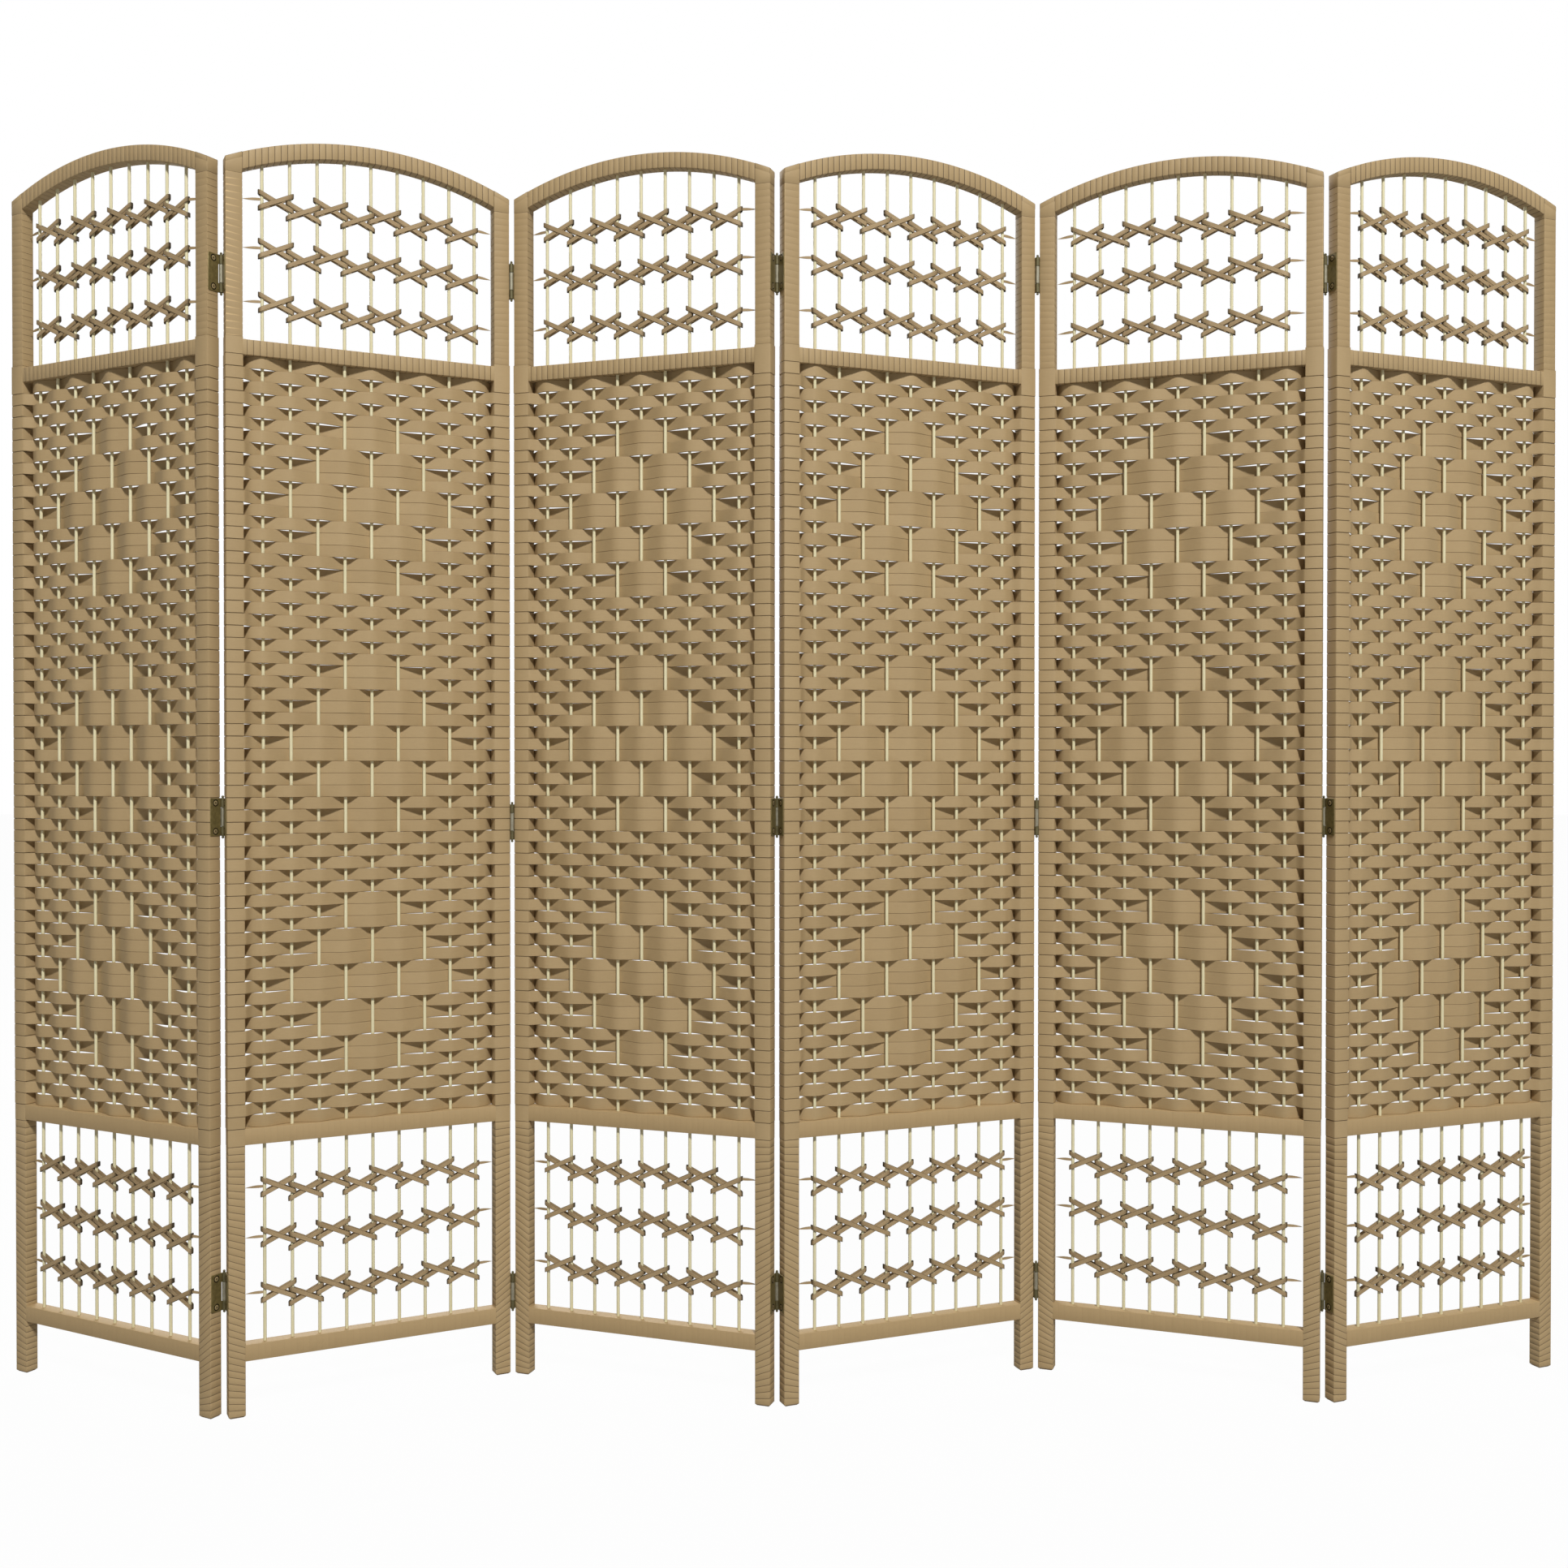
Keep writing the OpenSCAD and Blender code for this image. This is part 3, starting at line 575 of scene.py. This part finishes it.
# %% Turns round a rail or the arch
def beam_turns(lines, lower_of, upper_of, gap, proud, bevel, groove=0.25):
    """Rings round a beam between neighbouring lines of u.

    The outline at u is a box of the frame's depth from lower_of(u) to upper_of(u), with rounded corners."""
    a, b = lines[:-1] + gap / 2, lines[1:] - gap / 2
    u = np.stack([a, a + bevel, b - bevel, b, b - bevel, a + bevel], -1)[:, None, :]
    hv, r, angles = FRAME_T / 2, 0.9, corner_angles()
    sv = np.repeat([1, -1, -1, 1], 3)
    sz = np.repeat([1, 1, -1, -1], 3)
    v0 = sv * (hv - r) + r * np.cos(angles)
    dz = r * np.sin(angles) - sz * r
    offset = np.array([-groove, proud, proud, -groove, -0.9, -0.9])
    edge_z = np.where(sz[None, :, None] > 0, upper_of(u), lower_of(u))
    v = v0[None, :, None] + np.cos(angles)[None, :, None] * offset
    z = edge_z + dz[None, :, None] + np.sin(angles)[None, :, None] * offset
    full = z.shape
    return np.stack([np.broadcast_to(u, full), np.broadcast_to(v, full), z], -1)


# %% Band of each panel
def even_lines(a, b, width):
    """Lines from a to b, as near to the width apart as fits."""
    return np.linspace(a, b, int(round((b - a) / width)) + 1)


def leg_lines(a, b):
    """Lines up a leg, further apart towards the top: step = 8.9 + 1.5 t, t = (z - a)/(b - a)."""
    t = np.linspace(0.0, 1.0, 400)
    count = np.concatenate([[0.0], np.cumsum(np.diff(t) / (8.9 + 0.75 * (t[1:] + t[:-1])))])
    turns = int(round(count[-1] * (b - a)))
    return a + (b - a) * np.interp(np.linspace(0.0, count[-1], turns + 1), count, t)


TURN, BEAM_TURN, COLLAR, CAP_DEPTH = 9.4, 8.7, 5.5, 8.0
LEG_FOOT, LEG_TOP, POST_FOOT, POST_TOP = 2.2, LOWER_RAIL[0] - 1.5, UPPER_RAIL[1] + 3.5, 1708.0
# On the posts a turn's edge shows on the side faces and hardly in front, as painted shade. Where the light grazes it,
# it gleams: a negative edge value makes the colour lighter, a painted highlight. Points 6 to 8 are the left front
# corner and 9 to 11 the right one.
side_share = np.abs(np.cos(corner_angles()))
POST_EDGE = (0.12 + 0.5 * side_share ** 2)[:, None] * EDGE_OF_POINT[None, :]
HIGHLIGHT_AT_CORNERS = np.array([0.3, 0.1, 0.1, 0.1, 0.1, 0.1, -0.5, -0.9, -0.9, 0.0, 0.1, 0.3])
HIGHLIGHT_EDGE = HIGHLIGHT_AT_CORNERS[:, None] * EDGE_OF_POINT[None, :]
# Painted highlight dots along one front corner of two posts, where each turn crosses it
HIGHLIGHT_DOTS_LEFT, HIGHLIGHT_DOTS_RIGHT = POST_EDGE.copy(), POST_EDGE.copy()
HIGHLIGHT_DOTS_LEFT[7, :4], HIGHLIGHT_DOTS_RIGHT[10, :4] = -0.5, -0.5
# A stile is (panel from 0, -1 for left or 1 for right)
# The stile whose turns carry painted highlight slivers
HIGHLIGHT_SLIVERS = (1, -1)
EDGE_AT = {HIGHLIGHT_SLIVERS: HIGHLIGHT_EDGE, (3, -1): HIGHLIGHT_DOTS_LEFT, (4, 1): HIGHLIGHT_DOTS_RIGHT}
LEAN = {(0, -1): 0.5, (0, 1): 0.85, (1, -1): 0.48, (5, -1): 0.52, (4, 1): 0.52}
NARROW_SHOULDER = {(1, -1), (3, -1)}
# The lines between the turns on each panel's arch, as (bevel in mm, edge value). The edge value is painted shade
# in the line: faint on the first panel, and stronger on the panels that face the lamp
ARCH_LINES = [(0.4, 0.55), (0.6, 1.0), (0.45, 1.0), (0.68, 1.0), (0.48, 1.0), (0.7, 1.0)]
for k in range(PANELS):
    groups, posts, post_edges = [], [], []
    for side in (-1, 1):
        u_mid = STILE_W / 2 if side < 0 else PANEL_W - STILE_W / 2
        leg = leg_lines(LEG_FOOT, LEG_TOP)
        up_leg = np.clip((leg - LEG_FOOT) / (LEG_TOP - LEG_FOOT), 0, 1)
        leg_lean = side * LEAN.get((k, side), 0.68) * np.sin(math.pi * up_leg ** 0.75)
        groups.append(stile_turns(u_mid, leg, leg_lean, gap=0.14, proud=0.0, bevel=0.45, groove=0.14))
        joint_low = np.array([LEG_TOP, LOWER_RAIL[1]])
        groups.append(stile_turns(u_mid, joint_low, np.zeros(2), gap=0.12, proud=0.25, bevel=0.5))
        narrow = (k, side) in NARROW_SHOULDER
        shoulder = np.array([WEAVE_TOP if narrow else WEAVE_TOP - ROW_PITCH, POST_FOOT])
        groups.append(stile_turns(u_mid, shoulder, np.zeros(2), gap=0.12, proud=0.4 if narrow else 0.95, bevel=0.5))
        post = even_lines(POST_FOOT, POST_TOP, TURN)
        up_post = np.clip((post - POST_FOOT) / (POST_TOP - POST_FOOT), 0, 1)
        # The stile with painted highlight slivers also leans its turns the other way and bevels them wide
        painted_slivers = (k, side) == HIGHLIGHT_SLIVERS
        post_lean = (-0.22 if painted_slivers else side * 0.10) * np.sin(up_post * math.pi)
        posts.append(stile_turns(u_mid, post, post_lean, gap=0.04, proud=0.0, bevel=1.3 if painted_slivers else 0.3,
                                 groove=0.02, side_groove=0.35))
        post_edges.append(np.broadcast_to(EDGE_AT.get((k, side), POST_EDGE), (len(post) - 1, 12, 6)))
        slope = (arch_z(u_mid + 1) - arch_z(u_mid - 1)) / 2
        crown = np.array([POST_TOP, arch_z(u_mid) + 0.1])
        groups.append(stile_turns(u_mid, crown, np.array([0.0, slope]), gap=0.0, proud=0.1, bevel=0.5))
        cap_lines = np.array([u_mid - STILE_W / 2 + 0.2, u_mid + STILE_W / 2])
        groups.append(beam_turns(cap_lines, lambda u: arch_z(u) - CAP_DEPTH, arch_z, gap=0.0, proud=0.12, bevel=0.5))
    stile_band = strips_mesh(f"stile_band_{k + 1}", np.concatenate(groups), k, True, WOUND, TURN)
    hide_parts(f"panel_{k + 1}_wrapping")
    post_band = strips_mesh(f"post_band_{k + 1}", np.concatenate(posts), k, True, POST_WOUND, TURN,
                            np.concatenate(post_edges))
    inner = (STILE_W, PANEL_W - STILE_W)
    arch_lines = even_lines(inner[0], inner[1], BEAM_TURN)
    arch_bevel, arch_line_shade = ARCH_LINES[k]
    arch = beam_turns(arch_lines, lambda u: arch_z(u, ARCH_R - ARCH_BAND), arch_z,
                      gap=0.12, proud=0.0, bevel=arch_bevel)
    rail_lines = even_lines(inner[0] + COLLAR, inner[1] - COLLAR, BEAM_TURN)
    upper = beam_turns(rail_lines, level(UPPER_RAIL[0]), level(UPPER_RAIL[1]), gap=0.12, proud=0.0, bevel=0.45)
    collars = [beam_turns(np.array(c), level(UPPER_RAIL[0]), level(UPPER_RAIL[1]), gap=0.0, proud=0.25, bevel=0.3)
               for c in ((inner[0] - 0.6, inner[0] + COLLAR), (inner[1] - COLLAR, inner[1] + 0.6))]
    beams = np.concatenate([arch, upper] + collars)
    beam_edge = np.where(np.arange(len(beams)) < len(arch), arch_line_shade, 1.0)[:, None, None] * EDGE_OF_POINT
    beam_band = strips_mesh(f"beam_band_{k + 1}", beams, k, True, WOUND, TURN, beam_edge)
    low_lines = even_lines(inner[0] - 0.4, inner[1] + 0.4, BEAM_TURN)
    lows = [beam_turns(low_lines, level(r[0]), level(r[1]), gap=0.02, proud=0.0, bevel=0.4, groove=0.03)
            for r in (LOWER_RAIL, BOTTOM_RAIL)]
    low_band = strips_mesh(f"rail_band_{k + 1}", np.concatenate(lows), k, True, PLAIN_WOUND, TURN)
    for piece in (post_band, beam_band, low_band):
        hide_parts(f"panel_{k + 1}_wrapping")
print("faces in one panel's band", sum(len(p.data.polygons) for p in (stile_band, beam_band, low_band)))

# %% [markdown]
# ## The bindings in the windows
# In each window three rows of narrow strips hold the bare rods apart. Between two rods one strip climbs and one
# falls, and both go round the two rods: each is a flat loop, seen as a slanted bar whose turned end is darkened by
# painted shade and partly dirt. One loop lies inside the other, so that the crossing has a front bar and a back bar.

# %% Twined loops
RISE, STEP, BIND_W, BIND_T = 17.5, 9.5, 6.2, 0.9
# Half the depth of the outer and of the inner loop, and how far both reach past the rods
OUTER, INNER, OVERHANG = 4.5, 3.35, 5.2
# 1 where the odd cells of a panel stand high, 0 where the even ones do
HIGH_FIRST = [1, 1, 1, 0, 1, 0]
UPPER_ROWS = UPPER_RAIL[1] + 50.0 + np.array([0.0, 74.0, 141.0])
LOWER_ROWS = BOTTOM_RAIL[1] + 62.0 + np.array([0.0, 77.5, 147.0])


def loop_round_rods(u_mid, z_mid, lean, half_depth, overhang):
    """Closed flat loops round two neighbouring rods.

    In plan a loop is a long oval: two straight runs half_depth from the rods' line and two half circles. The height
    rises by lean * RISE over one rod pitch, so the whole loop tilts. Arrays: one row per loop."""
    half = ROD_PITCH / 2 + overhang - half_depth
    turn = np.radians(np.linspace(-90, 90, 6))
    u = np.concatenate([half + half_depth * np.cos(turn), -half - half_depth * np.cos(turn)])
    v = np.concatenate([half_depth * np.sin(turn), half_depth * np.sin(turn)[::-1]])
    run = np.array([-0.5, 0.0, 0.5]) * half
    u = np.concatenate([run, u[:6], run[::-1], u[6:]])
    v = np.concatenate([np.full(3, -half_depth), v[:6], np.full(3, half_depth), v[6:]])
    tu, tv = np.roll(u, -1) - np.roll(u, 1), np.roll(v, -1) - np.roll(v, 1)
    size = np.hypot(tu, tv)
    nu, nv = tv / size, -tu / size
    side = np.array([0, 1, 1, 0, -1, -1]) * BIND_T / 2
    tall = np.array([-0.5, -0.42, 0.42, 0.5, 0.42, -0.42]) * BIND_W / math.cos(math.atan(RISE / ROD_PITCH))
    pu = u[:, None] + nu[:, None] * side
    pv = v[:, None] + nv[:, None] * side
    z = z_mid[:, None, None] + lean * RISE / ROD_PITCH * pu[None] + tall
    shape = z.shape
    return np.stack([np.broadcast_to(u_mid[:, None, None] + pu[None], shape), np.broadcast_to(pv[None], shape), z], -1)


def tail_strips(rows_z, side):
    """Short pointed strips from near the stile (t = 0) to the nearest rod (t = 1).

    Half width 0.2 + 1.8 sin(0.78 pi t), v = 1 + 2 cos(3 t), z = row + 4.5 + sin(2 t)."""
    t = np.linspace(0, 1, 9)
    u0, u1 = STILE_W + 2.0, ROD_U[0] + 1.5
    u = u0 + (u1 - u0) * t
    u = u if side < 0 else PANEL_W - u
    v = 2.0 * np.cos(t * 3.0) + 1.0
    half = 0.2 + 1.8 * np.sin(0.78 * np.pi * t)
    mid = rows_z[:, None] + 4.5 + 1.0 * np.sin(t * 2.0)
    return flat_profile(np.broadcast_to(u, mid.shape), np.broadcast_to(v, mid.shape), 0.8, mid - half, mid + half, 0.12)


# Stations 3 to 8 and 12 to 17 of a loop lie in its turned ends, which are darkened: painted shade in the bend, partly
# dirt
END_SHADE_AND_DIRT = np.zeros(18)
END_SHADE_AND_DIRT[3:9], END_SHADE_AND_DIRT[12:18] = [0.05, 0.3, 0.85, 0.85, 0.7, 0.4], [0.4, 0.7, 0.85, 0.85, 0.3, 0.05]
BIND_EDGE = np.maximum(END_SHADE_AND_DIRT[:, None], EDGE_OF_POINT[None, :])
cell = np.arange(1, RODS)
mids = (ROD_U[:-1] + ROD_U[1:]) / 2
for k in range(PANELS):
    lift = np.where(cell % 2 == HIGH_FIRST[k], STEP / 2, -STEP / 2)
    loops, tails = [], []
    for rows_z, lean in ((UPPER_ROWS, 1 if k % 2 else -1), (LOWER_ROWS, -1 if k % 2 else 1)):
        z_mid = (rows_z[:, None] + lift[None, :]).reshape(-1)
        u_mid = np.tile(mids, len(rows_z))
        loops.append(loop_round_rods(u_mid, z_mid, lean, OUTER, OVERHANG))
        loops.append(loop_round_rods(u_mid, z_mid, -lean, INNER, OVERHANG))
        tails += [tail_strips(rows_z, -1), tail_strips(rows_z, 1)]
    twined = strips_mesh(f"twined_strips_{k + 1}", np.concatenate(loops), k, True, TWINED, BIND_W, BIND_EDGE)
    ends = strips_mesh(f"binding_tails_{k + 1}", np.concatenate(tails), k, False, TWINED, 4.0)
    for piece in (twined, ends):
        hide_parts(f"panel_{k + 1}_bindings")
print("faces in one panel's bindings", len(twined.data.polygons))

# %% [markdown]
# ## Hinges
# Three butt hinges join two panels. A hinge has a plate on each stile's side face, knuckles rolled round the pin and
# two screws with domed, crossed heads in each plate. Plates, knuckles and heads are worked out round the pin, with x
# away from the panel and y from the frame to the pin, as in the CAD, and then set on each side that carries a hinge.

# %% Bronze of the hinges
PLATE = bronze_finish("hinge_plate_bronze", srgb(158, 140, 88), srgb(84, 74, 40), 0.42, 0.45)
# A lighter bronze for the middle knuckles: painted light, standing in for the bright band that knuckle catches
LIT_BARREL_BRONZE = bronze_finish("hinge_barrel_painted_light", srgb(168, 164, 146), srgb(126, 120, 98), 0.45, 0.6)
# A lighter bronze on the screw heads: a painted highlight on their domes
LIT_SCREW_HEAD = bronze_finish("screw_head_painted_highlight", srgb(206, 184, 136), srgb(132, 110, 70), 0.34, 0.25)
# Near black bronze: painted shade in the screw slots and painted shadow of the countersink round each head
SCREW_SHADE = bronze_finish("screw_painted_shade", srgb(48, 40, 26), srgb(26, 22, 14), 0.6)
for f in (BRONZE, PLATE, LIT_SCREW_HEAD):
    f.node_tree.nodes["Principled BSDF"].inputs["Specular IOR Level"].default_value = 0.6

# %% Shapes round a pin
LEAF_H, LEAF_T, LEAF_D, KNUCKLE_R, END_KNUCKLE, KNUCKLE_GAP = 52.0, 0.9, 18.5, KNUCKLE_D / 2, 13.0, 0.3
HINGE_Z = [(172.0, 827.0, 1573.0), (123.0, 815.0, 1608.0), (157.0, 826.0, 1587.0), (133.0, 821.0, 1623.0),
           (153.0, 826.0, 1591.0)]
SCREW_Y, SCREW_DZ, HEAD_R, DOME_H = -PIN_OFFSET - LEAF_D / 2, LEAF_H / 2 - 6.5, 3.4, 0.26
DOME = [(DOME_H * math.cos(s), HEAD_R * math.sin(s)) for s in np.radians([88, 75, 60, 45, 30, 12])]
# A thin dark disc round each head, painted shadow of the countersink
COUNTERSINK_SHADE = [(-0.1, HEAD_R + 1.5), (0.05, HEAD_R + 1.45), (0.06, HEAD_R - 0.3)]
SLOT_TURN = 0.6


def plate_rings(x0):
    """A plate with rounded corners as four rings from its back to its front, the outer two drawn in by 0.2 mm."""
    y0, y1, h, r = -PIN_OFFSET - LEAF_D, -PIN_OFFSET - 0.2, LEAF_H / 2, 1.2
    corner = corner_angles((0, 30, 60, 90))
    sy, sz = np.repeat([1, -1, -1, 1], 4), np.repeat([1, 1, -1, -1], 4)
    rings = []
    for x, draw in ((0.0, 0.2), (0.2, 0.0), (LEAF_T - 0.25, 0.0), (LEAF_T, 0.25)):
        y = np.where(sy > 0, y1, y0) - sy * (r + draw) + r * np.cos(corner)
        z = sz * (h - r - draw) + r * np.sin(corner)
        rings.append(np.stack([np.full(16, x0 + x), y, z], -1))
    return np.stack(rings)[None]


def barrel_rings(z0, z1, radius, ease=0.35, sides=20):
    """A round barrel along z with eased ends: radius less ease at z0 and z1, full radius in between."""
    a = np.radians(np.arange(sides) * 360.0 / sides)
    rings = [np.stack([r * np.cos(a), r * np.sin(a), np.full(sides, z)], -1)
             for z, r in ((z0, radius - ease), (z0 + ease, radius), (z1 - ease, radius), (z1, radius - ease))]
    return np.stack(rings)[None]


def tongue_rings(x0, z0, z1):
    """A flat bar that rolls from the plate into its knuckle, as two rings along y."""
    x, z = x0 + np.array([0, LEAF_T, LEAF_T, 0]), np.array([z0, z0, z1, z1])
    return np.stack([np.stack([x, np.full(4, y), z], -1) for y in (-4.3, -2.2)])[None]


def disc_rings(x0, z, outline):
    """Circles round a screw's axis, one for each (height on the plate, radius) of an outline.

    DOME is a screw head, radius HEAD_R sin(t) and height DOME_H cos(t). Round it lies a thin dark disc that the head
    stands on, a painted shadow of the countersink."""
    a = np.radians(np.arange(24) * 15.0)
    return np.stack([np.stack([np.full(24, x0 + h), SCREW_Y + r * np.cos(a), z + r * np.sin(a)], -1)
                     for h, r in outline])[None]


def slot_rings(x0, z, turn):
    """One bar of the crossed slot: a thin box on the dome's top, turned about x, dark with painted shade."""
    y, zz = np.array([-2.0, 2.0, 2.0, -2.0]), np.array([-0.38, -0.38, 0.38, 0.38])
    c, s = math.cos(turn), math.sin(turn)
    return np.stack([np.stack([np.full(4, x), SCREW_Y + y * c - zz * s, z + y * s + zz * c], -1)
                     for x in (x0 + 0.12, x0 + 0.29)])[None]


# %% Hinges of each panel
def on_side(points, joint, right, z):
    """Move points from round the pin to the panel's own frame: mirrored for a left side and for a pin in front."""
    u = PANEL_W + STILE_GAP / 2 + points[..., 0] if right else -STILE_GAP / 2 - points[..., 0]
    return np.stack([u, pin_side(joint) * (PIN_V + points[..., 1]), points[..., 2] + z], -1)


for k in range(PANELS):
    plates, tongues, barrels, lit_barrels, heads, shade_discs, slots = [], [], [], [], [], [], []
    for joint, right in [(k - 1, False)] * (k > 0) + [(k, True)] * (k < PANELS - 1):
        for z in HINGE_Z[joint]:
            put = lambda shape: on_side(shape, joint, right, z)
            x0 = -STILE_GAP / 2 + 0.05 + (PROUD if WEAVE_BOTTOM < z < WEAVE_TOP else 0.0)
            plates.append(put(plate_rings(x0)))
            h, e = LEAF_H / 2, END_KNUCKLE
            spans = [(-h, -h + e), (h - e, h)] if right else [(-h + e + KNUCKLE_GAP, h - e - KNUCKLE_GAP)]
            for a, b in spans:
                tongues.append(put(tongue_rings(x0, a, b)))
                (barrels if right else lit_barrels).append(put(barrel_rings(a, b, KNUCKLE_R)))
            for dz in (-SCREW_DZ, SCREW_DZ):
                shade_discs.append(put(disc_rings(x0 + LEAF_T, dz, COUNTERSINK_SHADE)))
                heads.append(put(disc_rings(x0 + LEAF_T, dz, DOME)))
                slots += [put(slot_rings(x0 + LEAF_T, dz, turn)) for turn in (SLOT_TURN, SLOT_TURN + math.pi / 2)]
    for name, shapes, material in (("hinge_plates", plates, PLATE), ("hinge_tongues", tongues, PLATE),
                                   ("hinge_end_barrels", barrels, BRONZE), ("hinge_middle_barrels", lit_barrels, LIT_BARREL_BRONZE),
                                   ("screw_heads", heads, LIT_SCREW_HEAD), ("screw_rims", shade_discs, SCREW_SHADE),
                                   ("screw_slots", slots, SCREW_SHADE)):
        if shapes:
            piece = strips_mesh(f"{name}_{k + 1}", np.concatenate(shapes), k, False, material, 6.0)
            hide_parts(f"panel_{k + 1}_" + ("hinge_leaves" if name.startswith("hinge") else "hinge_screws"))
print("hinge pieces of the last panel", len(plates), "plates", len(heads), "screw heads")
